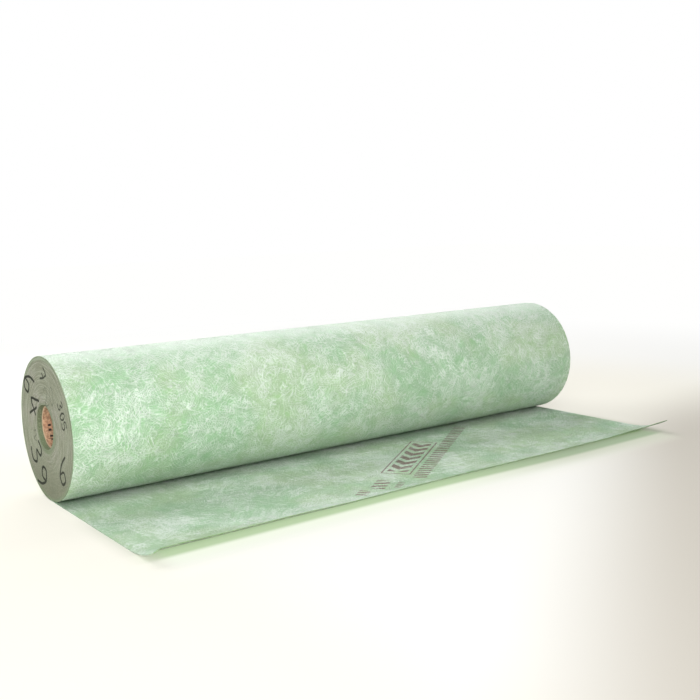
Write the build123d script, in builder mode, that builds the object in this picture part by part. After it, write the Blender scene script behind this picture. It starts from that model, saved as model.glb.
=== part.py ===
from build123d import *
import math
import os

# A roll of fleece-faced roofing felt that lies on the floor, with the start of the sheet pulled
# out flat towards the viewer and its cut edge curled up, on a cardboard core tube.
# Millimetres. +X runs along the roll, +Y points away from the pulled-out sheet, +Z is up.
# The origin is the middle of the bounding box, on the floor.

# Driving dimensions of the roll
sheet_width = 1150.0
sheet_thickness = 1.2
roll_radius = 121.5

# Driving dimensions of the pulled-out sheet. The reach is from the roll's axis to the cut edge,
# at the middle of the sheet. The edge runs askew, further out at the left end by cut_askew.
cut_reach = 385.0
cut_askew = 16.0
cut_lift_left = 19.0
cut_lift_right = 24.0
curl_radius = 178.0
curl_overrun = 2.0
curl_end_trim = 20.0
nip_gap = 0.3

# Driving dimensions of the core tube and of its seat in the roll
core_outer_radius = 37.2
core_wall = 4.0
core_recess = 8.0
core_clearance = 0.3
core_shift_back = 5.0
core_shift_up = 2.4

# Driving dimensions of the turns that show on the ends
drawn_turns = 8
turn_groove_width = 0.7
turn_groove_depth = 0.8
turn_land_at_bore = 4.0

# Places that follow from the sizes
cut_reach_left = cut_reach + cut_askew / 2
cut_reach_right = cut_reach - cut_askew / 2
longest_reach = cut_reach + abs(cut_askew) / 2
axis_y = (longest_reach - roll_radius) / 2
axis_z = roll_radius
left_x = -sheet_width / 2
right_x = sheet_width / 2
bore_radius = core_outer_radius + core_clearance
bore_y = axis_y + core_shift_back
bore_z = axis_z + core_shift_up

left_end = Plane.YZ.offset(left_x)
right_end = Plane.YZ.offset(right_x)


def curl_angle(lift):
    """Angle of the curl, in degrees, that raises the sheet's underside to the given height."""
    return math.degrees(math.acos(1 - lift / curl_radius))


def flat_end_y(reach, lift):
    """Where the sheet leaves the floor, when its cut edge stands at the given reach and height."""
    return axis_y - reach + curl_radius * math.sin(math.radians(curl_angle(lift)))


flat_left = Vector(left_x, flat_end_y(cut_reach_left, cut_lift_left), 0)
flat_right = Vector(right_x, flat_end_y(cut_reach_right, cut_lift_right), 0)
cut_left = Vector(left_x, axis_y - cut_reach_left, 0)
cut_right = Vector(right_x, axis_y - cut_reach_right, 0)


def turn_point(share, turns_done, inset):
    """A point of the wound sheet's spiral, from the nip, share 0, in to the bore, share 1.

    The turns are centred on the roll's axis outside and on the bore inside.
    """
    outer = roll_radius - sheet_thickness
    inner = bore_radius + turn_land_at_bore
    radius = outer + (inner - outer) * share - inset
    angle = 2 * math.pi * turns_done - math.pi / 2
    y = axis_y + core_shift_back * share + radius * math.cos(angle)
    z = axis_z + core_shift_up * share + radius * math.sin(angle)
    return (y, z)


def half_turn(number, inset):
    """The three points of one half turn of the spiral's arcs."""
    return [
        turn_point(step / (2 * drawn_turns), step / 2, inset)
        for step in (number, number + 0.5, number + 1)
    ]


# The sheet: the wound roll, its outer wrap and the pulled-out length are one piece.
# The outer wrap is one turn of a spiral made of two half circles. It comes down one sheet
# thickness inside itself, on top of the length that leaves along the floor.
front_radius = roll_radius - sheet_thickness / 2
front_center_z = sheet_thickness + front_radius
nip_drop = math.acos(1 - nip_gap / front_radius)
nip_reach = front_radius * math.sin(nip_drop)
nip_z = sheet_thickness + nip_gap

with BuildPart() as felt_sheet:
    # The curl is an arc that rises from the floor along the line where the flat length ends.
    # That line runs a little askew, so the arc is drawn square to it and trimmed at the ends.
    askew = (flat_right - flat_left).normalized()
    upright = Vector(0, 0, 1)
    first = flat_left - askew * curl_end_trim
    sweep_turn = curl_angle(max(cut_lift_left, cut_lift_right)) + curl_overrun
    with BuildSketch(Plane(origin=first, x_dir=upright.cross(askew), z_dir=askew)):
        with BuildLine():
            under = CenterArc((0, curl_radius), curl_radius, -90, -sweep_turn)
            top = CenterArc((0, curl_radius), curl_radius - sheet_thickness, -90, -sweep_turn)
            Line(under @ 0, top @ 0)
            Line(under @ 1, top @ 1)
        make_face()
    extrude(amount=(flat_right - flat_left).length + 2 * curl_end_trim)
    split(bisect_by=left_end, keep=Keep.TOP)
    split(bisect_by=right_end, keep=Keep.BOTTOM)

    # The sheet is cut off along a straight line that runs askew too.
    cut_along = (cut_right - cut_left).normalized()
    cut_plane = Plane(origin=cut_left, x_dir=cut_along, z_dir=upright.cross(cut_along))
    split(bisect_by=cut_plane, keep=Keep.TOP)

    # The flat length runs on the floor, from under the roll to the curl.
    with BuildSketch(Plane.XY):
        with BuildLine():
            Polyline((left_x, axis_y), (right_x, axis_y), flat_right, flat_left, close=True)
        make_face()
    extrude(amount=sheet_thickness)

    # The roll: the back half circle, the front one and the short closed end of the nip.
    with BuildSketch(left_end):
        with BuildLine():
            Line((axis_y - nip_reach, 0), (axis_y, 0))
            ThreePointArc((axis_y, 0), (axis_y + roll_radius, axis_z), (axis_y, 2 * roll_radius))
            ThreePointArc(
                (axis_y, 2 * roll_radius),
                (axis_y - front_radius, front_center_z),
                (axis_y - nip_reach, nip_z),
            )
            Line((axis_y - nip_reach, nip_z), (axis_y - nip_reach, 0))
        make_face()
    extrude(amount=sheet_width)

    # The bore of the winding, round the core tube.
    with BuildSketch(left_end):
        with Locations((bore_y, bore_z)):
            Circle(bore_radius)
    extrude(amount=sheet_width, mode=Mode.SUBTRACT)

    # The turns show on both ends as one shallow spiral groove.
    for end, depth in ((left_end, turn_groove_depth), (right_end, -turn_groove_depth)):
        with BuildSketch(end):
            with BuildLine():
                for number in range(2 * drawn_turns):
                    ThreePointArc(*half_turn(number, 0))
                    ThreePointArc(*half_turn(number, turn_groove_width))
                for share, turns_done in ((0, 0), (1, drawn_turns)):
                    Line(
                        turn_point(share, turns_done, 0),
                        turn_point(share, turns_done, turn_groove_width),
                    )
            make_face()
        extrude(amount=depth, mode=Mode.SUBTRACT)

# The core tube: cardboard, a little shorter than the sheet is wide.
with BuildPart() as core_tube:
    with BuildSketch(left_end.offset(core_recess)):
        with Locations((bore_y, bore_z)):
            Circle(core_outer_radius)
            Circle(core_outer_radius - core_wall, mode=Mode.SUBTRACT)
    extrude(amount=sheet_width - 2 * core_recess)

felt_sheet.part.label = "felt_sheet"
core_tube.part.label = "core_tube"

os.makedirs("parts", exist_ok=True)
export_step(felt_sheet.part, "parts/felt_sheet.step")
export_step(core_tube.part, "parts/core_tube.step")
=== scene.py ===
# %% [markdown]
# # A roll of roofing felt
#
# The object is a roll of pale green, fleece-faced roofing felt on a cardboard core. It lies on its
# side, and the start of the sheet is pulled out flat in front of it, with its cut edge curled up.
# The lesson goes from the measured frame to the camera, the sheet, the core, their finishes, and
# last the floor and the light.

# %% Load the measured frame
import math

import bmesh
import bpy
from mathutils import Matrix, Vector, noise


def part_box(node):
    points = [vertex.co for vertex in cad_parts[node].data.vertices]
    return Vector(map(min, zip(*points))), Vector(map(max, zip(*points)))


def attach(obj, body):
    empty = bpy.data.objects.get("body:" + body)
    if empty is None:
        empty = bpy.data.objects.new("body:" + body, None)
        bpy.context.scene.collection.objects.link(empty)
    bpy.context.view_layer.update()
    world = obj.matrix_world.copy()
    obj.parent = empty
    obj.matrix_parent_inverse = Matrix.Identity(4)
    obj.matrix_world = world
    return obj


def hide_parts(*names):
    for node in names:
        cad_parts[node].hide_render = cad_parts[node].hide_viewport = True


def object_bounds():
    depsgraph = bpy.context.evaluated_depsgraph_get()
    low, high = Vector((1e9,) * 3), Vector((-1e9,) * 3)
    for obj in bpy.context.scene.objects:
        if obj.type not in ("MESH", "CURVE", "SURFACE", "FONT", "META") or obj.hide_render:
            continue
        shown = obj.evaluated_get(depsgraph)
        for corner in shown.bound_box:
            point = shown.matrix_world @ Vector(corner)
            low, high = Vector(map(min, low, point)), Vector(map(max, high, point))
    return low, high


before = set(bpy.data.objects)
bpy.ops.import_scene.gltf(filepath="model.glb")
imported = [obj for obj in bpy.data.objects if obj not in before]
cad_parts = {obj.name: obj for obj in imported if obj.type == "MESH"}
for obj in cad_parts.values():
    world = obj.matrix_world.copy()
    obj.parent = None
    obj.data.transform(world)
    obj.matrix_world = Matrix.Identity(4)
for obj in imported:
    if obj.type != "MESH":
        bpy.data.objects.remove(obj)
cad_lo, cad_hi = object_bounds()
print("nodes:", sorted(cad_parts))

# %% [markdown]
# ## The sizes
#
# The frame says how long and thick the roll is and where its axis lies. What it can't say in two
# corners, such as how thick the sheet is, is written here once, in metres. X runs along the roll,
# Y points away from the pulled-out sheet and Z is up. The origin is the middle of the object, so
# the back of the roll is as far from it as the cut edge is.

# %% Sizes read from the frame
felt_lo, felt_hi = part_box("felt_sheet")
tube_lo, tube_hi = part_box("core_tube")
left_x = felt_lo.x
right_x = felt_hi.x
sheet_width = right_x - left_x
roll_radius = felt_hi.z / 2
axis_y = -felt_lo.y - roll_radius
tube_y = (tube_lo.y + tube_hi.y) / 2
tube_z = (tube_lo.z + tube_hi.z) / 2
tube_radius = (tube_hi.z - tube_lo.z) / 2
print(f"roll {sheet_width:.3f} m long, {2 * roll_radius:.3f} m across, axis at y {axis_y:.4f}")

# %% Sizes of the sheet and of the core's wall
sheet_thickness = 0.0012
core_wall = 0.004
core_clearance = 0.0003
cut_askew = 0.016
cut_reach_left = axis_y - felt_lo.y
cut_reach_right = cut_reach_left - cut_askew
cut_lift_left = 0.019
cut_lift_right = 0.024
curl_radius = 0.178
print(f"the sheet reaches {cut_reach_left:.3f} m out at its left end, {cut_reach_right:.3f} at its right")

# %% [markdown]
# ## The camera
#
# The camera comes first, so that every later step can be judged from the same place. It stands low
# in front of the left end and looks along the roll and a little down. Its place, its turns and its
# lens were fitted to the outline of the roll and of the loose length. The lens alone is given in
# millimetres.

# %% Set the camera
lens_millimetres = 49.8
camera_place = (-1.0962, -1.4185, 0.4630)
turn_right = math.radians(36.42)
look_down = math.radians(8.12)
lean = math.radians(-1.48)

camera_data = bpy.data.cameras.new("camera")
camera_data.lens = lens_millimetres
camera = bpy.data.objects.new("camera", camera_data)
bpy.context.scene.collection.objects.link(camera)
bpy.context.scene.camera = camera
camera.matrix_world = (
    Matrix.Translation(camera_place)
    @ Matrix.Rotation(-turn_right, 4, "Z")
    @ Matrix.Rotation(math.radians(90) - look_down, 4, "X")
    @ Matrix.Rotation(lean, 4, "Z")
)
print("camera at", tuple(round(v, 3) for v in camera.location))

# %% [markdown]
# ## Selecting by place
#
# An operator in edit mode works on what is selected, as it does under a modeller's hands. These
# small helpers open a piece for editing and select its points by where they are. The last one closes
# the piece again, and counts the edges that are left open, of which a solid piece has none.

# %% Helpers for editing
def edit(piece):
    """Makes one piece the active one, opens it for editing and selects nothing in it."""
    if bpy.context.object and bpy.context.object.mode == "EDIT":
        bpy.ops.object.mode_set(mode="OBJECT")
    bpy.ops.object.select_all(action="DESELECT")
    bpy.context.view_layer.objects.active = piece
    piece.select_set(True)
    bpy.ops.object.mode_set(mode="EDIT")
    bpy.ops.mesh.select_mode(type="VERT")
    bpy.ops.mesh.select_all(action="DESELECT")


def select_points(piece, wanted):
    """Selects the points of the piece in hand whose place passes the test, and returns how many."""
    bpy.ops.mesh.select_all(action="DESELECT")
    mesh = bmesh.from_edit_mesh(piece.data)
    chosen = [point for point in mesh.verts if wanted(point.co)]
    for point in chosen:
        point.select = True
    mesh.select_flush_mode()
    bmesh.update_edit_mesh(piece.data)
    return len(chosen)


def done(piece, smooth_angle):
    """Closes the piece, shades its folds below the angle smoothly, and prints what it came to."""
    bpy.ops.object.mode_set(mode="OBJECT")
    bpy.ops.object.transform_apply(location=True, rotation=True, scale=True)
    bpy.ops.object.shade_smooth_by_angle(angle=math.radians(smooth_angle))
    check = bmesh.new()
    check.from_mesh(piece.data)
    open_edges = sum(not edge.is_manifold for edge in check.edges)
    litres = check.calc_volume() * 1000
    print(f"{piece.name}: {len(check.faces)} faces, {open_edges} open edges, {litres:.3f} litres")
    check.free()


# %% [markdown]
# ## The sheet, wound up from one line
#
# On the real roll one sheet runs from the cut edge on the floor, under the roll, and round and round
# to the core. It could be shown as a plain cylinder with rings drawn on its end. Here its turns are
# real, because they show on the ends, and the outer wrap has to leave the roll where it does.
#
# A spiral of even pitch is made of half circles: those on the back share one centre, and those in
# front share another, half a thickness higher. So the start is one upright line under the axis, from
# the floor up to the core, with a point at each edge of each turn and one between them. The points
# between stand a little proud, and give each turn a rounded edge. The line is one side of a grid
# that is one cell wide, and the grid's other side is deleted.

# %% The line under the axis
edge_crown = 0.00025
half_thickness = sheet_thickness / 2
bore_radius = tube_radius + core_clearance
turns = round((roll_radius - bore_radius) / sheet_thickness)
line_height = turns * sheet_thickness
grid_size = 1.0

bpy.ops.object.select_all(action="DESELECT")
bpy.ops.mesh.primitive_grid_add(
    x_subdivisions=2 * turns,
    y_subdivisions=1,
    size=grid_size,
    location=(left_x + edge_crown, axis_y - grid_size / 2, line_height / 2),
    rotation=(0, math.radians(90), 0),
)
wound_felt = bpy.context.object
wound_felt.name = "wound_felt"
wound_felt.scale = (line_height, 1, 1)
bpy.ops.object.transform_apply(location=True, rotation=True, scale=True)


def row_at(height):
    """Which row of points a height belongs to, counted from the floor."""
    return round(height / half_thickness)


edit(wound_felt)
select_points(wound_felt, lambda p: p.y < axis_y - grid_size / 2)
bpy.ops.mesh.delete(type="VERT")
crowns = select_points(wound_felt, lambda p: row_at(p.z) % 2 == 1)
bpy.ops.transform.translate(value=(-edge_crown, 0, 0))
print(turns, "turns, with", crowns, "crown points")

# %% [markdown]
# The first three points of the line are the sheet's own edge. They are extruded along the floor,
# and swept up about the curl's centre. Then the whole line is spun round the back of the roll, and
# all but its first two points round the front. A seam where the two halves meet at the top is merged.

# %% How far the loose length reaches
def between_ends(share, at_left, at_right):
    """A measure of the cut edge, from the left end, share 0, to the right end, share 1."""
    return at_left + (at_right - at_left) * share


def curl_angle(lift):
    """How far the sheet turns up to raise its cut edge by the given height."""
    return math.acos(1 - lift / curl_radius)


def flat_reach(share):
    """Length on the floor in front of the axis, from the left end, share 0, to the right end, 1."""
    reach = between_ends(share, cut_reach_left, cut_reach_right)
    lift = between_ends(share, cut_lift_left, cut_lift_right)
    return reach - curl_radius * math.sin(curl_angle(lift))


print(f"flat for {flat_reach(0):.3f} m at the left end and {flat_reach(1):.3f} m at the right end")

# %% The flat length, the curl and the turns
flat_steps = 26
curl_steps = 12
steps_in_half_turn = 48
touching = 1e-5
fold_y = axis_y - flat_reach(0)


def on_line(point):
    """Whether a point is on the upright line under the axis."""
    return abs(point.y - axis_y) < touching and point.z < line_height + half_thickness


def sweep(wanted, steps, angle, center_y, center_z):
    """Spins the points that pass the test about a line along X. A positive angle goes to the front."""
    swept = select_points(wound_felt, wanted)
    center = (left_x, center_y, center_z)
    bpy.ops.mesh.spin(steps=steps, angle=angle, center=center, axis=(1, 0, 0))
    return swept


select_points(wound_felt, lambda p: on_line(p) and row_at(p.z) <= 2)
for step in range(flat_steps):
    bpy.ops.mesh.extrude_region_move(
        TRANSFORM_OT_translate={"value": (0, -flat_reach(0) / flat_steps, 0)}
    )
curled = sweep(
    lambda p: abs(p.y - fold_y) < touching,
    curl_steps,
    curl_angle(cut_lift_left),
    fold_y,
    curl_radius,
)
back = sweep(on_line, steps_in_half_turn, -math.pi, axis_y, roll_radius)
front = sweep(
    lambda p: on_line(p) and row_at(p.z) >= 2,
    steps_in_half_turn,
    math.pi,
    axis_y,
    roll_radius + half_thickness,
)
bpy.ops.mesh.select_all(action="SELECT")
bpy.ops.mesh.remove_doubles(threshold=edge_crown / 5)
print("points swept up", curled, "to the back", back, "and to the front", front)

# %% [markdown]
# The core sits a little off the roll's axis. Moving the bore with proportional editing takes the
# turns along, less and less towards the outside, so they crowd on one side as they do on the roll.

# %% Shift the bore to the core
def from_bore(point):
    """Distance of a point from the bore's edge, seen along the roll."""
    return math.hypot(point.y - axis_y, point.z - roll_radius) - bore_radius


bore_points = select_points(wound_felt, lambda p: from_bore(p) < half_thickness * 0.9)
bpy.ops.transform.translate(
    value=(0, tube_y - axis_y, tube_z - roll_radius),
    use_proportional_edit=True,
    proportional_edit_falloff="LINEAR",
    proportional_size=roll_radius - bore_radius - 2 * sheet_thickness,
)
print("moved", bore_points, "points of the bore, and the turns round it")

# %% [markdown]
# One extrusion along X gives the sheet its width. The copy of the turns at the far end is mirrored,
# so that its edges stand proud too, and the long edges between the ends are cut into short ones, so
# that the sheet can sag and wave. Four more cuts close to the left end let its corner hang.

# %% Give the sheet its width
along_steps = 48
corner_cuts = (0.004, 0.008, 0.012, 0.018)

bpy.ops.mesh.select_all(action="SELECT")
bpy.ops.mesh.extrude_region_move(
    TRANSFORM_OT_translate={"value": (sheet_width - 2 * edge_crown, 0, 0)}
)
bpy.ops.transform.resize(value=(-1, 1, 1), center_override=(right_x - edge_crown, 0, 0))

bpy.ops.mesh.select_mode(type="EDGE")
bpy.ops.mesh.select_all(action="DESELECT")
felt_mesh = bmesh.from_edit_mesh(wound_felt.data)
for felt_edge in felt_mesh.edges:
    start, end = felt_edge.verts
    felt_edge.select = abs(start.co.x - end.co.x) > sheet_width / 2
felt_mesh.select_flush_mode()
bmesh.update_edit_mesh(wound_felt.data)
bpy.ops.mesh.subdivide(number_cuts=along_steps - 1)
bpy.ops.mesh.select_mode(type="VERT")
for cut_in in corner_cuts:
    bpy.ops.mesh.select_all(action="SELECT")
    bpy.ops.mesh.bisect(plane_co=(left_x + cut_in, 0, 0), plane_no=(1, 0, 0))
bpy.ops.mesh.select_all(action="SELECT")
bpy.ops.mesh.normals_make_consistent(inside=False)
done(wound_felt, smooth_angle=55)

# %% [markdown]
# ## The pattern's own map
#
# The fleece's fibres have to keep their size where the sheet bends, so they need a map that lies on
# the sheet as if it were unrolled. Its first number runs along the roll and its second follows the
# sheet, both in metres. The second is 0 under the axis, grows up the back of the roll and over its
# top, and falls below 0 on the loose length. The map is laid before the sheet is bent further,
# while every point still tells where it belongs.

# %% Map the unrolled sheet
def run_of(point, middle):
    """How far along the sheet a point is, on the face whose middle is given."""
    on_roll = middle.z > sheet_thickness and middle.y > axis_y - roll_radius - sheet_thickness
    if on_roll or middle.y > axis_y:
        place = math.atan2(point.y - axis_y, roll_radius - point.z) % math.tau
        around = math.atan2(middle.y - axis_y, roll_radius - middle.z) % math.tau
        place += math.tau * round((around - place) / math.tau)
        return roll_radius * place
    if middle.y > fold_y:
        return point.y - axis_y
    return fold_y - axis_y - curl_radius * math.atan2(fold_y - point.y, curl_radius - point.z)


def on_an_end(face):
    """Whether a face is one of the sheet's long edges, at either end of the roll."""
    return abs(face.normal.x) > 0.5


sheet_map = wound_felt.data.uv_layers.new(name="sheet_map")
for face in wound_felt.data.polygons:
    for corner in face.loop_indices:
        point = wound_felt.data.vertices[wound_felt.data.loops[corner].vertex_index].co
        if on_an_end(face):
            sheet_map.data[corner].uv = (point.y, point.z)
        else:
            sheet_map.data[corner].uv = (point.x - left_x, run_of(point, face.center))
print("mapped", len(sheet_map.data), "corners")

# %% Mark the crown of each turn's edge
crown_values = [float(abs(v.co.x) > right_x - edge_crown / 2) for v in wound_felt.data.vertices]
turn_edge = wound_felt.data.attributes.new("turn_edge", "FLOAT", "POINT")
turn_edge.data.foreach_set("value", crown_values)
print("marked", round(sum(crown_values)), "points")

# %% [markdown]
# ## How the loose length lies
#
# The line where the sheet leaves the floor runs askew, and so does the cut. The cut edge isn't
# straight either: the left corner hangs, the edge rises next to it, and it sags again towards the
# right. A lattice or a warp could bend it, but each of these is one small rule about a point's
# place, so the points are moved by those rules, as a hand would smooth and lift a real sheet.
#
# First the cut edge: each pair is a place along the roll and how much higher than straight the
# edge stands there.

# %% How high the cut edge stands
edge_heights = [
    (0.0, -0.0015),
    (0.004, -0.0005),
    (0.010, 0.0026),
    (0.040, 0.0026),
    (0.100, 0.0014),
    (0.220, 0.0009),
    (0.350, -0.0015),
    (0.540, -0.0018),
    (0.700, -0.0036),
    (0.820, -0.0048),
    (0.950, -0.0053),
    (1.050, -0.0031),
    (1.150, -0.0004),
]


def edge_height(along):
    """How much higher than straight the cut edge stands, at a place along the roll."""
    for (start, low), (end, high) in zip(edge_heights, edge_heights[1:]):
        if along <= end:
            share = max(0, (along - start) / (end - start))
            return low + (high - low) * share * share * (3 - 2 * share)
    return edge_heights[-1][1]


print(f"the edge stands {edge_height(sheet_width / 2) * 1000:.1f} mm off straight in its middle")

# %% [markdown]
# On the floor the sheet is stretched or shortened to the askew line where it lifts off, and a faint
# ripple raises it here and there. Past that line, its curl is turned further up or down, until the
# cut edge stands as high as it should.

# %% Let the loose length settle
floor_ripple = 0.0009
ripples_along = 7
ripples_out = 3
ripple_seed = 2.5


def settled(point):
    """Where a point of the loose length comes to lie."""
    along = point.x - left_x
    share = along / sheet_width
    lift = between_ends(share, cut_lift_left, cut_lift_right) + edge_height(along)
    angle_here = curl_angle(lift)
    reach = between_ends(share, cut_reach_left, cut_reach_right)
    flat_here = reach - curl_radius * math.sin(angle_here)
    if point.y > fold_y:
        run = (axis_y - point.y) / (axis_y - fold_y)
        ripple = noise.noise(Vector((along * ripples_along, run * ripples_out, ripple_seed)))
        raised = floor_ripple * max(0, ripple) * math.sin(math.pi * run)
        return Vector((point.x, axis_y - run * flat_here, point.z + raised))
    from_center = math.hypot(point.y - fold_y, curl_radius - point.z)
    share_of_curl = math.atan2(fold_y - point.y, curl_radius - point.z) / curl_angle(cut_lift_left)
    turned_up = share_of_curl * angle_here
    return Vector((
        point.x,
        axis_y - flat_here - from_center * math.sin(turned_up),
        curl_radius - from_center * math.cos(turned_up),
    ))


def is_loose(point):
    """Whether a point belongs to the length that is pulled out on the floor."""
    before_roll = point.y < axis_y - roll_radius - sheet_thickness
    on_floor = point.z < sheet_thickness + floor_ripple + touching
    return before_roll or (point.y < axis_y - 10 * touching and on_floor)


moved = 0
for vertex in wound_felt.data.vertices:
    if is_loose(vertex.co):
        vertex.co = settled(vertex.co)
        moved += 1
print("settled", moved, "points of the loose length")

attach(wound_felt, "root")
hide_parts("felt_sheet")

# %% [markdown]
# ## The core tube
#
# The core is a tube of wound paper. A cylinder with a hole would do for its shape, but its cut rim
# shows the plies that it is wound from, between two worn edges. So a ring of points at the middle of
# the tube is extruded step by step: along the outside, over the outer edge, across the plies and
# back through the bore. That is the left half, and a mirrored copy of it is the right half.

# %% A ring at the middle of the tube
tube_sides = 96

bpy.ops.object.select_all(action="DESELECT")
bpy.ops.mesh.primitive_circle_add(
    vertices=tube_sides,
    radius=tube_radius,
    location=((tube_lo.x + tube_hi.x) / 2, tube_y, tube_z),
    rotation=(0, math.radians(90), 0),
)
cardboard_core = bpy.context.object
cardboard_core.name = "cardboard_core"
bpy.ops.object.transform_apply(location=True, rotation=True, scale=True)
edit(cardboard_core)
bpy.ops.mesh.select_all(action="SELECT")
print("a ring of", tube_sides, "points,", round(2000 * tube_radius, 1), "mm across")

# %% The outline that the ring follows
plies = 6
ply_step = 0.00012
rim_chamfer = 0.0004
bore_steps = 24
inner_radius = tube_radius - core_wall
mouth_x = tube_lo.x + rim_chamfer

outline = [(0.0, tube_radius), (mouth_x, tube_radius)]
for ply in range(plies + 1):
    ply_radius = tube_radius - rim_chamfer - (core_wall - 2 * rim_chamfer) * ply / plies
    outline.append((tube_lo.x + (ply_step if ply % 2 else 0), ply_radius))
for step in range(bore_steps + 1):
    outline.append((mouth_x - mouth_x * step / bore_steps, inner_radius))
print("the outline has", len(outline), "places")

# %% Extrude the left half and mirror it
def step_ring(from_x, to_x, from_radius, to_radius):
    """Extrudes the ring in hand along the tube, and widens or narrows it to the new radius."""
    bpy.ops.mesh.extrude_region_move(TRANSFORM_OT_translate={"value": (to_x - from_x, 0, 0)})
    narrow = to_radius / from_radius
    bpy.ops.transform.resize(value=(1, narrow, narrow), center_override=(to_x, tube_y, tube_z))


for (from_x, from_radius), (to_x, to_radius) in zip(outline, outline[1:]):
    step_ring(from_x, to_x, from_radius, to_radius)

bpy.ops.mesh.select_all(action="SELECT")
bpy.ops.mesh.duplicate()
bpy.ops.transform.resize(value=(-1, 1, 1), center_override=(0, tube_y, tube_z))
bpy.ops.mesh.select_all(action="SELECT")
bpy.ops.mesh.remove_doubles(threshold=touching)
bpy.ops.mesh.normals_make_consistent(inside=False)
done(cardboard_core, smooth_angle=35)
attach(cardboard_core, "root")
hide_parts("core_tube")

# %% [markdown]
# ## Building finishes
#
# A finish is a small graph of nodes. These helpers add a node or a few, and take either a number or
# another node's output for every input, so that a finish reads like a sum.

# %% Helpers for numbers and colours
def new_finish(name):
    """A new material, with its graph and its main shader."""
    material = bpy.data.materials.new(name)
    material.use_nodes = True
    shader = material.node_tree.nodes["Principled BSDF"]
    return material, material.node_tree, shader


def feed(graph, socket, value):
    """Gives a socket a number, a colour or another node's output."""
    if isinstance(value, bpy.types.NodeSocket):
        graph.links.new(value, socket)
    elif value is not None:
        socket.default_value = value


def calc(graph, operation, first, second=None, third=None):
    """One step of arithmetic."""
    node = graph.nodes.new("ShaderNodeMath")
    node.operation = operation
    for socket, value in zip(node.inputs, (first, second, third)):
        feed(graph, socket, value)
    return node.outputs[0]


def ramp(graph, value, start, end, low=0.0, high=1.0):
    """Takes a value that goes from start to end smoothly to one from low to high."""
    node = graph.nodes.new("ShaderNodeMapRange")
    node.interpolation_type = "SMOOTHSTEP"
    for socket, given in zip(node.inputs, (value, start, end, low, high)):
        feed(graph, socket, given)
    return node.outputs["Result"]


def blend_colors(graph, share, first, second):
    """Mixes two colours: share 0 is the first and share 1 the second."""
    node = graph.nodes.new("ShaderNodeMix")
    node.data_type = "RGBA"
    feed(graph, node.inputs["Factor"], share)
    feed(graph, node.inputs["A"], first)
    feed(graph, node.inputs["B"], second)
    return node.outputs["Result"]


def color(red, green, blue):
    """A colour as a paint chart gives it, from 0 to 255, turned into the amount of light."""
    parts = [value / 255 for value in (red, green, blue)]
    linear = [p / 12.92 if p <= 0.04045 else ((p + 0.055) / 1.055) ** 2.4 for p in parts]
    return (*linear, 1.0)


def raise_by(graph, height, depth):
    """A bump of the given depth in metres, for a height from 0 to 1."""
    node = graph.nodes.new("ShaderNodeBump")
    node.inputs["Strength"].default_value = 1.0
    node.inputs["Distance"].default_value = depth
    feed(graph, node.inputs["Height"], height)
    return node.outputs["Normal"]


# %% Helpers for places
def calc_vector(graph, operation, first, second=None):
    """One step of arithmetic on places. A length or a product of two is a single number."""
    node = graph.nodes.new("ShaderNodeVectorMath")
    node.operation = operation
    feed(graph, node.inputs[0], first)
    feed(graph, node.inputs["Scale" if operation == "SCALE" else 1], second)
    return node.outputs["Value" if operation in ("LENGTH", "DOT_PRODUCT") else "Vector"]


def on_piece(graph):
    """The place on the piece, in the frame's own metres."""
    return graph.nodes.new("ShaderNodeTexCoord").outputs["Object"]


def on_sheet(graph):
    """The place on the unrolled sheet, in metres."""
    node = graph.nodes.new("ShaderNodeUVMap")
    node.uv_map = "sheet_map"
    return node.outputs["UV"]


def parts_of(graph, place):
    """The three numbers of a place."""
    node = graph.nodes.new("ShaderNodeSeparateXYZ")
    feed(graph, node.inputs[0], place)
    return node.outputs


def flat_place(graph, first, second):
    """A place on a flat map, from its two numbers."""
    node = graph.nodes.new("ShaderNodeCombineXYZ")
    feed(graph, node.inputs[0], first)
    feed(graph, node.inputs[1], second)
    return node.outputs[0]


def turn_place(graph, place, angle):
    """A place on a flat map, turned about the map's origin."""
    node = graph.nodes.new("ShaderNodeVectorRotate")
    node.rotation_type = "Z_AXIS"
    feed(graph, node.inputs["Vector"], place)
    feed(graph, node.inputs["Angle"], angle)
    return node.outputs[0]


def grain(graph, place, size, detail=2.0, roughness=0.5, flat=False):
    """Soft random clouds of the given size in metres, as one value and as a colour of three."""
    node = graph.nodes.new("ShaderNodeTexNoise")
    node.noise_dimensions = "2D" if flat else "3D"
    feed(graph, node.inputs["Vector"], place)
    feed(graph, node.inputs["Scale"], 1 / size)
    feed(graph, node.inputs["Detail"], detail)
    feed(graph, node.inputs["Roughness"], roughness)
    return node.outputs


def sway(graph, place, size, reach, flat=False):
    """A place moved about a little, so that what is drawn there runs less straight."""
    clouds = grain(graph, place, size, detail=1.0, flat=flat)
    push = calc_vector(graph, "SUBTRACT", clouds["Color"], (0.5, 0.5, 0.5))
    return calc_vector(graph, "ADD", place, calc_vector(graph, "SCALE", push, reach))


# %% Helpers for node groups
def new_group(name, places, numbers, result):
    """A group that takes places and numbers. Returns it, what it is given, and its result."""
    group = bpy.data.node_groups.new(name, "ShaderNodeTree")
    for title in places:
        group.interface.new_socket(title, in_out="INPUT", socket_type="NodeSocketVector")
    for title in numbers:
        group.interface.new_socket(title, in_out="INPUT", socket_type="NodeSocketFloat")
    group.interface.new_socket(result, in_out="OUTPUT", socket_type="NodeSocketFloat")
    given = group.nodes.new("NodeGroupInput").outputs
    return group, given, group.nodes.new("NodeGroupOutput").inputs[result]


def use_group(graph, group, given):
    """Adds a group to a finish, feeds it by name and returns its result."""
    node = graph.nodes.new("ShaderNodeGroup")
    node.node_tree = group
    for title, value in given.items():
        feed(graph, node.inputs[title], value)
    return node.outputs[0]


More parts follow.
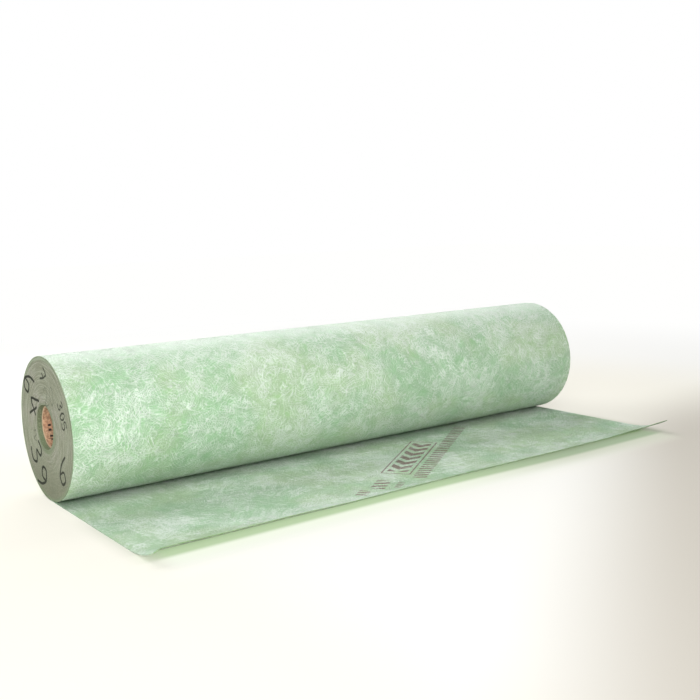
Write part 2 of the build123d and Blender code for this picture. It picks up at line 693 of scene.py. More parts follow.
# %% [markdown]
# ## The fleece
#
# The face of the felt is a fleece: long white fibres, laid at random and pressed onto a green sheet.
# They lie in tufts that each run their own way, and where they are thin the green shows through. A
# plain noise gives clouds and no fibres, and a wave gives stripes. So the map is divided into cells,
# each cell turns its own patch of stretched noise, and fades towards its border. Several such layers
# of different sizes, laid over each other, look like felted fibre.

# %% One layer of tufts, as a reusable group
tuft_seed_step = (0.371, 0.739)
patch_spread = 80.0
fiber_crest = (0.52, 0.62)
tuft_border = (0.8, 0.4)


def make_fiber_group():
    """A node group that draws tufts of straight fibres, each tuft turned its own way."""
    numbers = ("Tuft", "Length", "Width", "Seed")
    group, given, result = new_group("fiber_tufts", ("Place",), numbers, "Fiber")
    shifts = [calc(group, "MULTIPLY", given["Seed"], step) for step in tuft_seed_step]
    place = calc_vector(group, "ADD", given["Place"], flat_place(group, *shifts))
    cells = group.nodes.new("ShaderNodeTexVoronoi")
    cells.voronoi_dimensions = "2D"
    feed(group, cells.inputs["Vector"], place)
    feed(group, cells.inputs["Scale"], calc(group, "DIVIDE", 1.0, given["Tuft"]))

    chance = group.nodes.new("ShaderNodeSeparateColor")
    feed(group, chance.inputs[0], cells.outputs["Color"])
    own_angle = calc(group, "MULTIPLY", chance.outputs[0], math.tau)
    from_middle = calc_vector(group, "SUBTRACT", place, cells.outputs["Position"])
    shorten = calc(group, "DIVIDE", 1.0, given["Length"])
    narrow = calc(group, "DIVIDE", 1.0, given["Width"])
    stretch = flat_place(group, shorten, narrow)
    drawn = calc_vector(group, "MULTIPLY", turn_place(group, from_middle, own_angle), stretch)
    own_patch = calc_vector(group, "SCALE", cells.outputs["Color"], patch_spread)
    strands = grain(group, calc_vector(group, "ADD", drawn, own_patch), 1.0, detail=0.0, flat=True)
    strokes = ramp(group, strands[0], *fiber_crest)
    fade = ramp(group, cells.outputs["Distance"], *tuft_border)
    feed(group, result, calc(group, "MULTIPLY", strokes, fade))
    return group


fiber_group = make_fiber_group()
print("fiber group has", len(fiber_group.nodes), "nodes")

# %% [markdown]
# Between the tufts run single curved threads. Bent lines could be drawn one by one, but there are
# thousands. So a thread is where a soft cloud passes through one of a few even levels, as a height
# line does on a map, and a second cloud lets the threads show only here and there.

# %% Threads
thread_seed_step = (0.37, 0.73)
thread_edge = (0.22, 0.06)
thread_patch_shift = (3.1, 1.7, 0.0)
thread_patch_size = 0.022
thread_patch_edge = (0.42, 0.60)


def thread_layer(graph, place, size, levels, seed):
    """Curved threads: the lines where a soft cloud passes through even levels, here and there."""
    along, out = (seed * step for step in thread_seed_step)
    shifted = calc_vector(graph, "ADD", place, (along, out, 0.0))
    hills = grain(graph, shifted, size, detail=0.4, flat=True)
    level = calc(graph, "FRACT", calc(graph, "MULTIPLY", hills[0], levels))
    from_line = calc(graph, "ABSOLUTE", calc(graph, "SUBTRACT", level, 0.5))
    apart = calc_vector(graph, "ADD", shifted, thread_patch_shift)
    patches = grain(graph, apart, thread_patch_size, detail=0.0, flat=True)
    here = ramp(graph, patches[0], *thread_patch_edge)
    return calc(graph, "MULTIPLY", ramp(graph, from_line, *thread_edge), here)


# %% [markdown]
# All layers are added up, each with its own strength. The last layer of tufts is coarse, and its
# strength is asked for as clumps. A large cloud then makes the fleece thick in one place and thin in
# the next, and cloudiness says by how much. Where the sum passes full cover the face is white. Where
# it is little the sheet's own green shows, which is here and there a little more olive.

# %% The fleece's layers and colours
fleece_green = color(148, 192, 147)
fleece_olive = color(163, 197, 150)
fleece_white = color(229, 244, 231)
sway_size = 0.035
sway_reach = 0.011
cloud_size = 0.10
tint_size = 0.16

# Each layer of tufts: the tufts' size, the fibres' length and width, a seed and a strength
tuft_layers = [
    (0.046, 0.040, 0.0021, 1.0, 0.24),
    (0.038, 0.036, 0.0017, 2.0, 0.25),
    (0.031, 0.030, 0.0014, 3.0, 0.27),
    (0.024, 0.022, 0.0010, 4.0, 0.28),
    (0.018, 0.014, 0.0008, 5.0, 0.26),
]
clump_layer = (0.070, 0.050, 0.0060, 6.0)

# Each layer of threads: the size of its clouds, its number of levels, a seed and a strength
thread_layers = [
    (0.060, 19.0, 1.0, 0.36),
    (0.050, 17.0, 2.0, 0.36),
    (0.042, 15.0, 3.0, 0.36),
    (0.034, 13.0, 4.0, 0.36),
    (0.028, 11.0, 5.0, 0.34),
]
print(len(tuft_layers) + 1, "layers of tufts and", len(thread_layers), "of threads")


# %% The fleece
def fleece(graph, full_cover, cloudiness, clumps):
    """Draws the fleece, and returns its colour and its height. White is reached at full cover."""
    place = on_sheet(graph)
    curved = sway(graph, place, sway_size, sway_reach, flat=True)
    height = 0.0
    for tuft, length, width, seed, strength in (*tuft_layers, (*clump_layer, clumps)):
        sizes = {"Place": curved, "Tuft": tuft, "Length": length, "Width": width, "Seed": seed}
        drawn = use_group(graph, fiber_group, sizes)
        height = calc(graph, "MULTIPLY_ADD", drawn, strength, height)
    for size, levels, seed, strength in thread_layers:
        drawn = thread_layer(graph, place, size, levels, seed)
        height = calc(graph, "MULTIPLY_ADD", drawn, strength, height)

    clouds = grain(graph, place, cloud_size, detail=4.0, roughness=0.6, flat=True)[0]
    thickness = ramp(graph, clouds, 0.3, 0.7, 1.0 - cloudiness, 1.1)
    cover = calc(graph, "MULTIPLY", height, thickness)
    cover = calc(graph, "ADD", cover, ramp(graph, clouds, 0.35, 0.7, 0.0, cloudiness))
    cover = ramp(graph, cover, 0.0, full_cover)
    tint = ramp(graph, grain(graph, place, tint_size, detail=2.0, flat=True)[0], 0.4, 0.6)
    below = blend_colors(graph, tint, fleece_green, fleece_olive)
    return blend_colors(graph, cover, below, fleece_white), height


# %% [markdown]
# ## The plain face
#
# The outside of the roll and the underside of the loose length are the sheet's plain face. Its fleece is
# paler on the top of the roll, as a painted highlight where the lamps from behind light it. The underside
# of the curl is a deeper green near the cut edge, as painted shade where the curl shades itself.

# %% The way along the sheet, and the cloth's gloss
fiber_relief = 0.0010
run_to_top = math.pi * roll_radius
edge_run = -(flat_reach(0) + curl_radius * curl_angle(cut_lift_left))


def run_along_sheet(graph):
    """How far along the sheet a place is, in metres. The cut edge has the lowest number."""
    return parts_of(graph, on_sheet(graph))[1]


def set_cloth_gloss(shader, sheen):
    """Dull, with the pale glow of loose fibre where the surface turns away."""
    shader.inputs["Roughness"].default_value = 0.9
    shader.inputs["Specular IOR Level"].default_value = 0.2
    shader.inputs["Sheen Weight"].default_value = sheen
    shader.inputs["Sheen Roughness"].default_value = 0.4


print(f"the cut edge is at {edge_run:.3f} m and the roll's top at {run_to_top:.3f} m")

# %% The plain face's finish
curl_shade_green = color(90, 118, 70)
top_light_behind = 0.11
top_light_in_front = 0.075
curl_shade_reach = 0.035

plain_face, graph, shader = new_finish("green_fleece")
fleece_color, fleece_height = fleece(graph, full_cover=1.5, cloudiness=0.22, clumps=0.1)
run = run_along_sheet(graph)
# painted highlight: the fleece turns paler over the top of the roll, where the back lamps light it
from_behind = ramp(graph, run, run_to_top - top_light_behind, run_to_top - 0.01, 0.0, 0.5)
to_front = ramp(graph, run, run_to_top + top_light_in_front, run_to_top + 0.02)
painted_top_light = calc(graph, "MULTIPLY", from_behind, to_front)
fleece_color = blend_colors(graph, painted_top_light, fleece_color, fleece_white)
# painted shade: darker green on the curl's underside near the cut edge
painted_curl_shade = ramp(graph, run, edge_run + curl_shade_reach, edge_run + 0.020, 0.0, 0.75)
fleece_color = blend_colors(graph, painted_curl_shade, fleece_color, curl_shade_green)
feed(graph, shader.inputs["Base Color"], fleece_color)
feed(graph, shader.inputs["Normal"], raise_by(graph, fleece_height, fiber_relief))
set_cloth_gloss(shader, sheen=0.55)
print(plain_face.name, "has", len(graph.nodes), "nodes")

# %% [markdown]
# ## The print on the loose length
#
# The inner face carries a print in brown ink, laid slantwise: a framed block and rows of small
# marks. Here the frame holds plain arrowheads and the rows are plain bars. All of it is arithmetic
# on the sheet's own map, moved to the middle of the print and turned, so no picture is needed.

# %% Helpers for drawn shapes
def within(graph, value, limit, softness=0.0006):
    """1 where a value is under the limit, fading to 0 just past it."""
    return ramp(graph, value, limit + softness, limit - softness)


def box_distance(graph, across, up, half_length, half_width):
    """How far a place is outside a box, or, below zero, inside it."""
    past_end = calc(graph, "SUBTRACT", calc(graph, "ABSOLUTE", across), half_length)
    past_side = calc(graph, "SUBTRACT", calc(graph, "ABSOLUTE", up), half_width)
    return calc(graph, "MAXIMUM", past_end, past_side)


def in_box(graph, across, up, half_length, half_width):
    """1 inside a box, and 0 outside it."""
    return within(graph, box_distance(graph, across, up, half_length, half_width), 0.0)


def repeats(graph, value, pitch, share):
    """1 over a share of every pitch, else 0."""
    step = calc(graph, "FRACT", calc(graph, "DIVIDE", value, pitch))
    from_middle = calc(graph, "ABSOLUTE", calc(graph, "SUBTRACT", step, 0.5))
    return within(graph, from_middle, share / 2, softness=0.03)


# %% The print's sizes
print_middle = (0.6264, -0.188, 0.0)
print_turn = math.radians(37.7)
frame_half_length = 0.121
frame_half_width = 0.0265
frame_line = 0.0030
arrows_half_length = 0.108
arrows_half_width = 0.0190
arrow_pitch = 0.034
arrow_share = 0.55
bar_slant = 0.35

# Each row: its middle across and up, its half length and height, and its bars' pitch and share
print_rows = [
    (0.065, -0.048, 0.205, 0.0125, 0.0150, 0.52),
    (-0.194, 0.009, 0.026, 0.0130, 0.0170, 0.52),
    (-0.250, 0.026, 0.017, 0.0100, 0.0120, 0.52),
    (-0.193, -0.024, 0.018, 0.0060, 0.0110, 0.50),
]
print("one frame and", len(print_rows), "rows of bars")


# %% The print
def printed(graph):
    """Where the print's ink lies, from 0 to 1."""
    from_middle = calc_vector(graph, "SUBTRACT", on_sheet(graph), print_middle)
    across, up = parts_of(graph, turn_place(graph, from_middle, -print_turn))[:2]
    from_frame = box_distance(graph, across, up, frame_half_length, frame_half_width)
    ink = within(graph, calc(graph, "ABSOLUTE", from_frame), frame_line / 2)
    slope = calc(graph, "SUBTRACT", across, calc(graph, "ABSOLUTE", up))
    arrows = repeats(graph, slope, arrow_pitch, arrow_share)
    inside = in_box(graph, across, up, arrows_half_length, arrows_half_width)
    ink = calc(graph, "MAXIMUM", ink, calc(graph, "MULTIPLY", arrows, inside))
    for row_across, row_up, half_length, half_height, pitch, share in print_rows:
        from_row = calc(graph, "SUBTRACT", across, row_across)
        over_row = calc(graph, "SUBTRACT", up, row_up)
        inside = in_box(graph, from_row, over_row, half_length, half_height)
        slanted = calc(graph, "MULTIPLY_ADD", over_row, bar_slant, from_row)
        bars = calc(graph, "MULTIPLY", repeats(graph, slanted, pitch, share), inside)
        ink = calc(graph, "MAXIMUM", ink, bars)
    return ink


# %% [markdown]
# Ink sits on a fleece unevenly, so it is thinned where fibres lie over it. This face is cloudier than the
# plain one, and darker close to the roll, as painted shade where the roll sits on it. It ends in a thin
# green line along the cut, the cut's own green made darker as painted shade.

# %% The printed face's finish
print_ink = color(110, 76, 62)
nip_shade_green = color(88, 114, 92)
cut_shade_green = color(112, 148, 86)
cut_line_width = 0.0012
nip_shade_zone = (-0.115, -0.050)
ink_on_bare_sheet = 0.95
ink_under_fibers = 0.45

printed_face, graph, shader = new_finish("printed_fleece")
fleece_color, fleece_height = fleece(graph, full_cover=1.7, cloudiness=0.42, clumps=0.35)
worn = ramp(graph, fleece_height, 0.3, 1.4, ink_on_bare_sheet, ink_under_fibers)
inked = calc(graph, "MULTIPLY", printed(graph), worn)
fleece_color = blend_colors(graph, inked, fleece_color, print_ink)
run = run_along_sheet(graph)
# painted shade: the fleece darkens towards the roll, where the roll sits on the loose length
nip_shade_and_end_color = ramp(graph, run, *nip_shade_zone, 0.0, 0.46)
fleece_color = blend_colors(graph, nip_shade_and_end_color, fleece_color, nip_shade_green)
# partly painted shade: the cut's own green line, drawn darker like the shade under the raised edge
cut_line_shade = ramp(graph, run, edge_run + cut_line_width, edge_run + 0.0004, 0.0, 0.8)
fleece_color = blend_colors(graph, cut_line_shade, fleece_color, cut_shade_green)
feed(graph, shader.inputs["Base Color"], fleece_color)
feed(graph, shader.inputs["Normal"], raise_by(graph, fleece_height, fiber_relief))
set_cloth_gloss(shader, sheen=0.30)
print(printed_face.name, "has", len(graph.nodes), "nodes")

# %% [markdown]
# ## The numbers on the end
#
# Someone has numbered the roll on its end with a black marker. Text objects would look like type, so
# each number is a few pen strokes: the finish measures the distance to the nearest stroke, and is
# black where that is less than half the pen's width. The strokes are plain numbers, written at
# different angles as a hand does.

# %% Pen strokes, as a reusable group
def make_stroke_group():
    """A node group that gives the distance to one straight stroke, or a shorter one so far."""
    places = ("Place", "Start", "Run")
    group, given, result = new_group("pen_stroke", places, ("So Far",), "Distance")
    away = calc_vector(group, "SUBTRACT", given["Place"], given["Start"])
    length_squared = calc_vector(group, "DOT_PRODUCT", given["Run"], given["Run"])
    along = calc_vector(group, "DOT_PRODUCT", away, given["Run"])
    share = calc(group, "DIVIDE", along, length_squared)
    share = calc(group, "MINIMUM", calc(group, "MAXIMUM", share, 0.0), 1.0)
    gap = calc_vector(group, "SUBTRACT", away, calc_vector(group, "SCALE", given["Run"], share))
    nearest = calc(group, "MINIMUM", calc_vector(group, "LENGTH", gap), given["So Far"])
    feed(group, result, nearest)
    return group


stroke_group = make_stroke_group()
print("stroke group has", len(stroke_group.nodes), "nodes")

# %% The pen's path for each numeral, on a page one high
pen_numerals = {
    "0": [[(0.1, 0.5), (0.2, 0.9), (0.45, 0.98), (0.6, 0.65), (0.5, 0.15), (0.25, 0.03), (0.1, 0.5)]],
    "2": [[(0.05, 0.8), (0.25, 1.0), (0.5, 0.82), (0.4, 0.5), (0.0, 0.03), (0.62, 0.06)]],
    "3": [[(0.05, 0.9), (0.35, 1.0), (0.5, 0.78), (0.22, 0.55), (0.55, 0.33), (0.38, 0.03), (0.0, 0.1)]],
    "4": [[(0.38, 1.0), (0.03, 0.38), (0.62, 0.42)], [(0.46, 0.68), (0.4, -0.05)]],
    "5": [[(0.58, 0.98), (0.14, 0.95), (0.1, 0.56), (0.42, 0.6), (0.56, 0.3), (0.34, 0.02), (0.0, 0.1)]],
    "6": [[(0.5, 1.0), (0.16, 0.62), (0.08, 0.2), (0.3, 0.0), (0.55, 0.2), (0.4, 0.46), (0.12, 0.3)]],
    "7": [[(0.0, 0.93), (0.6, 1.0), (0.24, -0.02)], [(0.15, 0.48), (0.5, 0.52)]],
    "9": [[(0.55, 0.75), (0.3, 1.0), (0.08, 0.78), (0.3, 0.52), (0.55, 0.72), (0.5, 0.3), (0.3, -0.02)]],
}
numeral_step = 0.8
numeral_gap = 0.2

# Each number: its middle back from and above the axis, its height, its turn, the pen's width and
# how black it is
written = [
    ("64", 0.061, 0.052, 0.052, -62, 0.0046, 0.95),
    ("7", -0.001, 0.090, 0.026, -55, 0.0034, 0.9),
    ("20", -0.024, 0.058, 0.030, 10, 0.0022, 0.4),
    ("305", -0.080, 0.034, 0.020, -68, 0.0030, 0.9),
    ("2", 0.055, -0.019, 0.018, -20, 0.0020, 0.6),
    ("39", 0.045, -0.068, 0.052, -62, 0.0046, 0.95),
    ("6", -0.067, -0.056, 0.050, -10, 0.0042, 0.9),
]
print(len(written), "numbers are written on the end")


# %% Lay the strokes on the end
def part_way(share, before, start, end, after):
    """A number part of the way from start to end, on a smooth curve past all four."""
    bow = before - 2.5 * start + 2 * end - after / 2
    swing = 1.5 * (start - end) + (after - before) / 2
    return start + share * ((end - before) / 2 + share * (bow + share * swing))


def rounded(points):
    """A smooth line through the points, with two more between each two."""
    whole = [points[0], *points, points[-1]]
    line = [points[0]]
    for four in zip(whole, whole[1:], whole[2:], whole[3:]):
        for share in (1 / 3, 2 / 3, 1):
            line.append(tuple(part_way(share, *numbers) for numbers in zip(*four)))
    return line


def pen_lines(number, back, up, height, turn):
    """The pen's lines for one number, as points on the roll's left end."""
    cosine = math.cos(math.radians(turn))
    sine = math.sin(math.radians(turn))
    half_length = numeral_step * (len(number) - numeral_gap) / 2
    lines = []
    for position, numeral in enumerate(number):
        for path in pen_numerals[numeral]:
            points = []
            for right, above in rounded(path):
                right = right + numeral_step * position - half_length
                above -= 0.5
                y = axis_y + back - height * (right * cosine - above * sine)
                z = roll_radius + up + height * (right * sine + above * cosine)
                points.append(Vector((left_x, y, z)))
            lines.append(points)
    return lines


# %% The marker's ink
hand_sway_size = 0.02
hand_sway_reach = 0.004
ink_edge = (0.62, 0.38)


def pen_ink(graph, place):
    """Where the marker's ink lies, from 0 to 1."""
    unsteady = sway(graph, place, hand_sway_size, hand_sway_reach)
    ink = 0.0
    for *where, pen_width, strength in written:
        nearest = 1.0
        for points in pen_lines(*where):
            for start, end in zip(points, points[1:]):
                stroke = {"Place": unsteady, "Start": start, "Run": end - start, "So Far": nearest}
                nearest = use_group(graph, stroke_group, stroke)
        outside, inside = (pen_width * share for share in ink_edge)
        black = ramp(graph, nearest, outside, inside, 0.0, strength)
        ink = calc(graph, "MAXIMUM", black, ink)
    return ink


# %% [markdown]
# ## The edges of the turns
#
# On the ends each turn shows its edge: fleece on both sides, pressed grey where it was cut, and a dark
# line between one turn and the next. From a step back this reads as a dull grey-green. The turns near the
# rim have kept more of the sheet's green. Near the bore, and on the bore's wall, the sheet's own green is
# darkened as painted shade of the hollow. The lowest turns are darker. The points that stand proud say
# where each turn's crown is, and faint rings of noise round the axis make some turns darker than others.

# %% The end's colours, and how it is measured
edge_grey_green = color(167, 172, 156)
edge_grey = color(179, 177, 169)
edge_low = color(123, 127, 108)
edge_dark_ring = color(134, 138, 120)
edge_line = color(96, 104, 84)
edge_frayed = color(186, 190, 168)
rim_dark_green = color(100, 124, 90)
rim_pale_green = color(148, 172, 140)
bore_shade_green = color(112, 130, 98)
marker_black = color(38, 42, 36)
rings_in_a_metre = 420.0
ring_breaks = 1.6
low_zone = (-0.03, -0.10)
green_zone = 0.010

felt_edges, graph, shader = new_finish("sheet_edges")
edge_value = graph.nodes.new("ShaderNodeAttribute")
edge_value.attribute_name = "turn_edge"
place = on_piece(graph)
from_axis = calc_vector(graph, "SUBTRACT", place, (0.0, axis_y, roll_radius))
back, above = parts_of(graph, from_axis)[1:]
radius = calc_vector(graph, "LENGTH", flat_place(graph, back, above))
ring_number = calc(graph, "MULTIPLY", radius, rings_in_a_metre)
way_round = calc(graph, "MULTIPLY", calc(graph, "ARCTAN2", above, back), ring_breaks)
rings = grain(graph, flat_place(graph, ring_number, way_round), 1.0, detail=2.0, flat=True)[0]
blotches = grain(graph, place, 0.05, detail=3.0)[0]
speckle = grain(graph, place, 0.0015, detail=2.0)[0]
print(felt_edges.name, "measures the end with", len(graph.nodes), "nodes")

# %% The cut edges' finish
dull = blend_colors(graph, ramp(graph, blotches, 0.4, 0.62), edge_grey_green, edge_grey)
dull = blend_colors(graph, ramp(graph, above, *low_zone), dull, edge_low)
dull = blend_colors(graph, ramp(graph, rings, 0.3, 0.7), edge_dark_ring, dull)
on_crown = ramp(graph, edge_value.outputs["Fac"], 0.05, 0.5)
nip_shade_and_end_color = blend_colors(graph, on_crown, edge_line, dull)
frayed = calc(graph, "MULTIPLY", ramp(graph, speckle, 0.45, 0.7), 0.4)
nip_shade_and_end_color = blend_colors(graph, frayed, nip_shade_and_end_color, edge_frayed)
outer_turns = ramp(graph, radius, roll_radius - green_zone, roll_radius - 0.001, 0.0, 0.5)
rim_green = blend_colors(graph, ramp(graph, rings, 0.4, 0.6), rim_dark_green, rim_pale_green)
nip_shade_and_end_color = blend_colors(graph, outer_turns, nip_shade_and_end_color, rim_green)
# partly painted shade: the sheet's own green, darkened near the bore and on its wall
inner_turns = ramp(graph, radius, bore_radius + green_zone, bore_radius + 0.001, 0.0, 0.6)
nip_shade_and_end_color = blend_colors(graph, inner_turns, nip_shade_and_end_color, bore_shade_green)
marked = blend_colors(graph, pen_ink(graph, place), nip_shade_and_end_color, marker_black)
feed(graph, shader.inputs["Base Color"], marked)
feed(graph, shader.inputs["Normal"], raise_by(graph, calc(graph, "ADD", speckle, rings), 0.0004))
shader.inputs["Roughness"].default_value = 0.85
shader.inputs["Specular IOR Level"].default_value = 0.2
print(felt_edges.name, "has", len(graph.nodes), "nodes")

# %% [markdown]
# ## Giving the sheet its finishes
#
# Each face of the sheet gets its finish by where it is and which way it points. The loose length is
# printed on top, and over its cut, and plain below. The ends and the inside of the bore are the
# edges' finish, and all the rest is the plain face.

# %% Give the sheet its finishes
cut_zone = 0.02
bore_zone = 0.008
finishes = [plain_face, felt_edges, printed_face]
for finish in finishes:
    wound_felt.data.materials.append(finish)


def finish_of(face):
    """Which finish a face of the sheet gets."""
    faces_front = face.normal.y < -0.6
    faces_up = face.normal.z > 0.3
    if faces_front and face.center.y < cad_lo.y + cut_zone:
        return printed_face
    if is_loose(face.center):
        return printed_face if faces_up else plain_face
    if on_an_end(face) or from_bore(face.center) < bore_zone:
        return felt_edges
    return plain_face


faces_with = [0, 0, 0]
for face in wound_felt.data.polygons:
    face.material_index = finishes.index(finish_of(face))
    faces_with[face.material_index] += 1
print("faces with each finish:", faces_with)

# %% [markdown]
# ## The cardboard
#
# The core is grey-brown paper with reddish fibres in it, rough all over, and paler on its cut rim. A row
# of short black marks lies just inside its mouth. Each mark is a small box in the finish, placed by how
# far in it is and by how far round.

# %% The cardboard's finish
pulp_dark = color(142, 108, 84)
pulp_pale = color(214, 178, 146)
paper_red = color(200, 142, 112)
rim_pale = color(206, 186, 160)
dark_mark_color = color(36, 32, 30)
mark_depth = 0.0190
mark_half_length = 0.0026
mark_half_width = 0.0018
mark_angles = (-7, -21, -40, -52)

cardboard, graph, shader = new_finish("wound_cardboard")
place = on_piece(graph)
pulp = grain(graph, place, 0.004, detail=5.0, roughness=0.7)[0]
stain = grain(graph, place, 0.02, detail=3.0)[0]
brown = blend_colors(graph, ramp(graph, pulp, 0.35, 0.65), pulp_dark, pulp_pale)
brown = blend_colors(graph, ramp(graph, stain, 0.45, 0.7, 0.0, 0.6), brown, paper_red)
from_tube = calc_vector(graph, "SUBTRACT", place, (left_x, tube_y, tube_z))
deep, back, above = parts_of(graph, from_tube)
rim_depth = tube_lo.x - left_x
on_rim = ramp(graph, deep, rim_depth + 0.0006, rim_depth + 0.0001, 0.0, 0.6)
brown = blend_colors(graph, on_rim, brown, rim_pale)
around = calc(graph, "ARCTAN2", above, back)
dark_marks = 0.0
for angle in mark_angles:
    turned_by = calc(graph, "SUBTRACT", around, math.radians(angle))
    aside = calc(graph, "MULTIPLY", turned_by, inner_radius)
    onward = calc(graph, "SUBTRACT", deep, mark_depth)
    mark = in_box(graph, onward, aside, mark_half_length, mark_half_width)
    dark_marks = calc(graph, "MAXIMUM", mark, dark_marks)
brown = blend_colors(graph, dark_marks, brown, dark_mark_color)
feed(graph, shader.inputs["Base Color"], brown)
feed(graph, shader.inputs["Normal"], raise_by(graph, pulp, 0.0010))
shader.inputs["Roughness"].default_value = 0.85
cardboard_core.data.materials.append(cardboard)
print(cardboard.name, "has", len(graph.nodes), "nodes")

# %% [markdown]
# ## The floor
#
# The roll lies on a pale floor that runs into a white background without an edge. Near the roll the floor
# is partly paint, which takes the roll's shadow, and partly a plain tone. Further away the plain tone
# takes over. It is shown to the camera only, because lamps strong enough to whiten all of the floor would
# burn out the roll. On the right in front the floor is a little greyer, as painted shade. In these cells
# a pair of numbers says from where to where one tone passes into the next, in metres.

# %% The floor and its paint
floor_size = 16
floor_pale = color(243, 241, 231)
floor_shade_grey = color(200, 195, 185)
grey_slant = -1.4
grey_to_the_right = (0.55, 1.0)
grey_in_front = (0.1, -0.3)
grey_reach = (1.7, 1.0)

bpy.ops.object.select_all(action="DESELECT")
bpy.ops.mesh.primitive_plane_add(size=floor_size, location=(0, 0, 0))
floor = bpy.context.object
floor.name = "floor"
floor_finish, graph, shader = new_finish("pale_floor")
place = on_piece(graph)
along_x, along_y = parts_of(graph, place)[:2]
from_middle = calc_vector(graph, "LENGTH", place)
# painted shade: a greyer patch of floor on the right in front
slantwise = calc(graph, "MULTIPLY_ADD", along_y, grey_slant, along_x)
on_right = ramp(graph, slantwise, *grey_to_the_right)
in_front = ramp(graph, along_y, *grey_in_front)
painted_floor_shade = calc(graph, "MULTIPLY", on_right, in_front)
painted_floor_shade = calc(graph, "MULTIPLY", painted_floor_shade, ramp(graph, from_middle, *grey_reach))
floor_color = blend_colors(graph, painted_floor_shade, floor_pale, floor_shade_grey)
feed(graph, shader.inputs["Base Color"], floor_color)
shader.inputs["Roughness"].default_value = 0.9
shader.inputs["Specular IOR Level"].default_value = 0.1
print(floor_finish.name, "has", len(graph.nodes), "nodes for its paint")

# %% The plain tone further away
tone_white = color(255, 255, 254)
tone_cream = color(251, 248, 237)
tone_shade_grey = color(212, 207, 197)
tone_takes_over = (0.9, 2.4)
tone_share_near = 0.6
cream_beside = (0.35, 0.6)
cream_reach = (1.5, 0.9)

far_away = ramp(graph, from_middle, *tone_takes_over, tone_share_near, 1.0)
far_away = calc(graph, "MULTIPLY", far_away, ramp(graph, painted_floor_shade, 0.0, 1.0, 1.0, 0.9))
beside_middle = calc(graph, "ABSOLUTE", along_x)
at_sides = ramp(graph, beside_middle, *cream_beside)
at_sides = calc(graph, "MULTIPLY", at_sides, ramp(graph, from_middle, *cream_reach))
plain_tone = blend_colors(graph, at_sides, tone_white, tone_cream)
# painted shade: the plain tone is greyer in the same patch
plain_tone = blend_colors(graph, painted_floor_shade, plain_tone, tone_shade_grey)
print(floor_finish.name, "has", len(graph.nodes), "nodes with its plain tone")

# %% [markdown]
# The sheet is thin, and light falls through its raised edge onto the floor. There it makes a green
# band, darkest at its back, and a pale glow in front of the band. Light that really passes through
# the sheet would need a see-through finish and many samples, so the band is drawn on the floor,
# along the line under the cut edge. Towards the right it lies a little further out, and is duller.

# %% The light that falls through the raised edge
band_deep_left = color(160, 189, 142)
band_deep_right = color(146, 162, 130)
band_pale_left = color(192, 216, 173)
band_pale_right = color(168, 187, 156)
band_back = color(110, 139, 90)
glow_left = color(248, 255, 236)
glow_right = color(212, 217, 198)
glow_end = color(255, 255, 250)
glow_end_shade_grey = color(214, 209, 198)
band_set_back = 0.023
band_step_out = 0.013
deep_to_pale = (-0.045, -0.008)
pale_to_back = (-0.028, -0.041)
glow_to_band = (0.013, -0.004)
glow_to_floor = (0.0, 0.085)

askew = (cut_reach_left - cut_reach_right) / sheet_width
cut_line = calc(graph, "MULTIPLY_ADD", along_x, askew, cad_lo.y - askew * left_x)
ahead = calc(graph, "SUBTRACT", cut_line, along_y)
to_right = ramp(graph, along_x, -0.1, 0.34)
set_forward = calc(graph, "ADD", ahead, band_set_back)
past = calc(graph, "MULTIPLY_ADD", to_right, -band_step_out, set_forward)
band_deep = blend_colors(graph, to_right, band_deep_left, band_deep_right)
band_pale = blend_colors(graph, to_right, band_pale_left, band_pale_right)
band = blend_colors(graph, ramp(graph, past, *deep_to_pale), band_deep, band_pale)
band = blend_colors(graph, ramp(graph, past, *pale_to_back), band, band_back)
glow = blend_colors(graph, to_right, glow_left, glow_right)
glow_fades_to = blend_colors(graph, painted_floor_shade, glow_end, glow_end_shade_grey)
glow = blend_colors(graph, ramp(graph, past, *glow_to_floor), glow, glow_fades_to)
around_edge = blend_colors(graph, ramp(graph, past, *glow_to_band), glow, band)
print(floor_finish.name, "has", len(graph.nodes), "nodes with its band")

# %% Show the tone and the band to the camera only
band_ends = (right_x + 0.03, right_x - 0.04)
roll_to_band = (-0.30, -0.15)
floor_to_glow = (0.12, 0.03)
band_share = 0.92

under_sheet = ramp(graph, beside_middle, *band_ends)
under_sheet = calc(graph, "MULTIPLY", under_sheet, ramp(graph, ahead, *roll_to_band))
near_edge = calc(graph, "MULTIPLY", under_sheet, ramp(graph, past, *floor_to_glow))
rays = graph.nodes.new("ShaderNodeLightPath").outputs
looked_at = calc(graph, "MAXIMUM", rays["Is Camera Ray"], rays["Is Glossy Ray"])
shown = graph.nodes.new("ShaderNodeEmission")
feed(graph, shown.inputs["Color"], blend_colors(graph, near_edge, plain_tone, around_edge))
share_shown = calc(graph, "MAXIMUM", far_away, calc(graph, "MULTIPLY", near_edge, band_share))
fading = graph.nodes.new("ShaderNodeMixShader")
feed(graph, fading.inputs[0], calc(graph, "MULTIPLY", share_shown, looked_at))
feed(graph, fading.inputs[1], shader.outputs[0])
feed(graph, fading.inputs[2], shown.outputs[0])
feed(graph, graph.nodes["Material Output"].inputs["Surface"], fading.outputs[0])
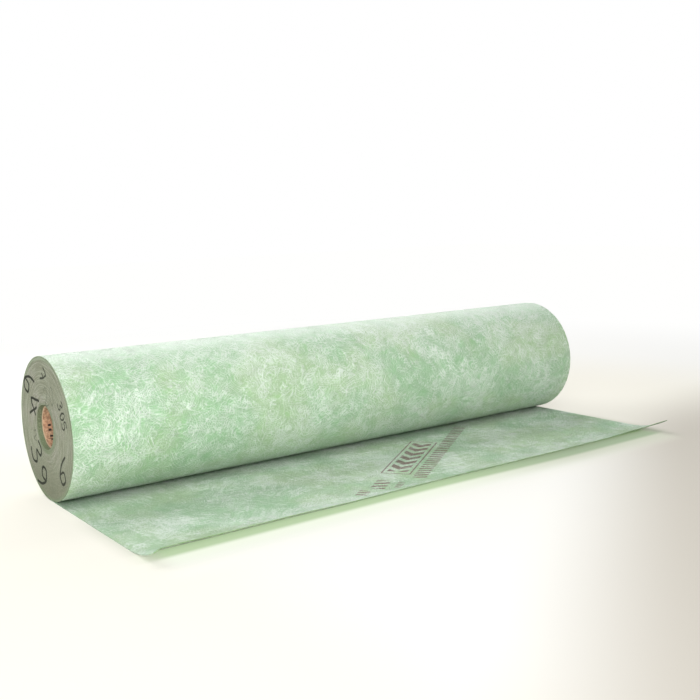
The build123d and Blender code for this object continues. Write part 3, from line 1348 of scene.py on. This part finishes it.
floor.data.materials.append(floor_finish)
print(floor_finish.name, "has", len(graph.nodes), "nodes in all")

# %% [markdown]
# ## Background and light
#
# The background is white to the camera and to mirror-like rays, but gives the roll only a little
# light of its own. The roll is lit by four soft panels, as in a studio: a strong one low on the
# left, which brings out the fleece and the near end, a weak one above it to soften the shadows, and
# two behind the roll for its top and its back. Their power is as low as the pale fleece needs to
# stay below white.

# %% The white background
ambient_level = 0.13

world = bpy.data.worlds.new("studio")
bpy.context.scene.world = world
world.use_nodes = True
graph = world.node_tree
background = graph.nodes["Background"]
background.inputs["Color"].default_value = (1.0, 1.0, 1.0, 1.0)
rays = graph.nodes.new("ShaderNodeLightPath").outputs
seen = calc(graph, "MAXIMUM", rays["Is Camera Ray"], rays["Is Glossy Ray"])
feed(graph, background.inputs["Strength"], ramp(graph, seen, 0.0, 1.0, ambient_level, 1.0))
bpy.context.scene.view_settings.view_transform = "Standard"
print("the background lights the roll at", ambient_level, "of its white")

# %% The lamps
white = (1.0, 1.0, 1.0)
warm_white = (1.0, 0.99, 0.96)

# Each lamp: its name, its place, what it points at, its width and height, its watts and its tint
lamps = [
    ("key_panel", (-1.7, -2.1, 1.06), (0, 0, 0.1), 2.0, 1.0, 67, warm_white),
    ("fill_panel", (-0.7, -1.3, 1.75), (0, 0, 0.1), 1.6, 0.8, 15, white),
    ("back_panel", (-0.1, 1.9, 1.30), (0, 0.1, 0.1), 2.6, 0.8, 40, white),
    ("high_panel", (0.0, 1.2, 1.95), (0, 0.1, 0.1), 2.6, 0.6, 20, white),
]
for name, place, aim, width, height, watts, tint in lamps:
    panel = bpy.data.lights.new(name, "AREA")
    panel.shape = "RECTANGLE"
    panel.size = width
    panel.size_y = height
    panel.energy = watts
    panel.color = tint
    lamp = bpy.data.objects.new(name, panel)
    bpy.context.scene.collection.objects.link(lamp)
    lamp.location = place
    lamp.rotation_euler = (Vector(aim) - Vector(place)).to_track_quat("-Z", "Y").to_euler()
    print(name, "shines with", watts, "watts")
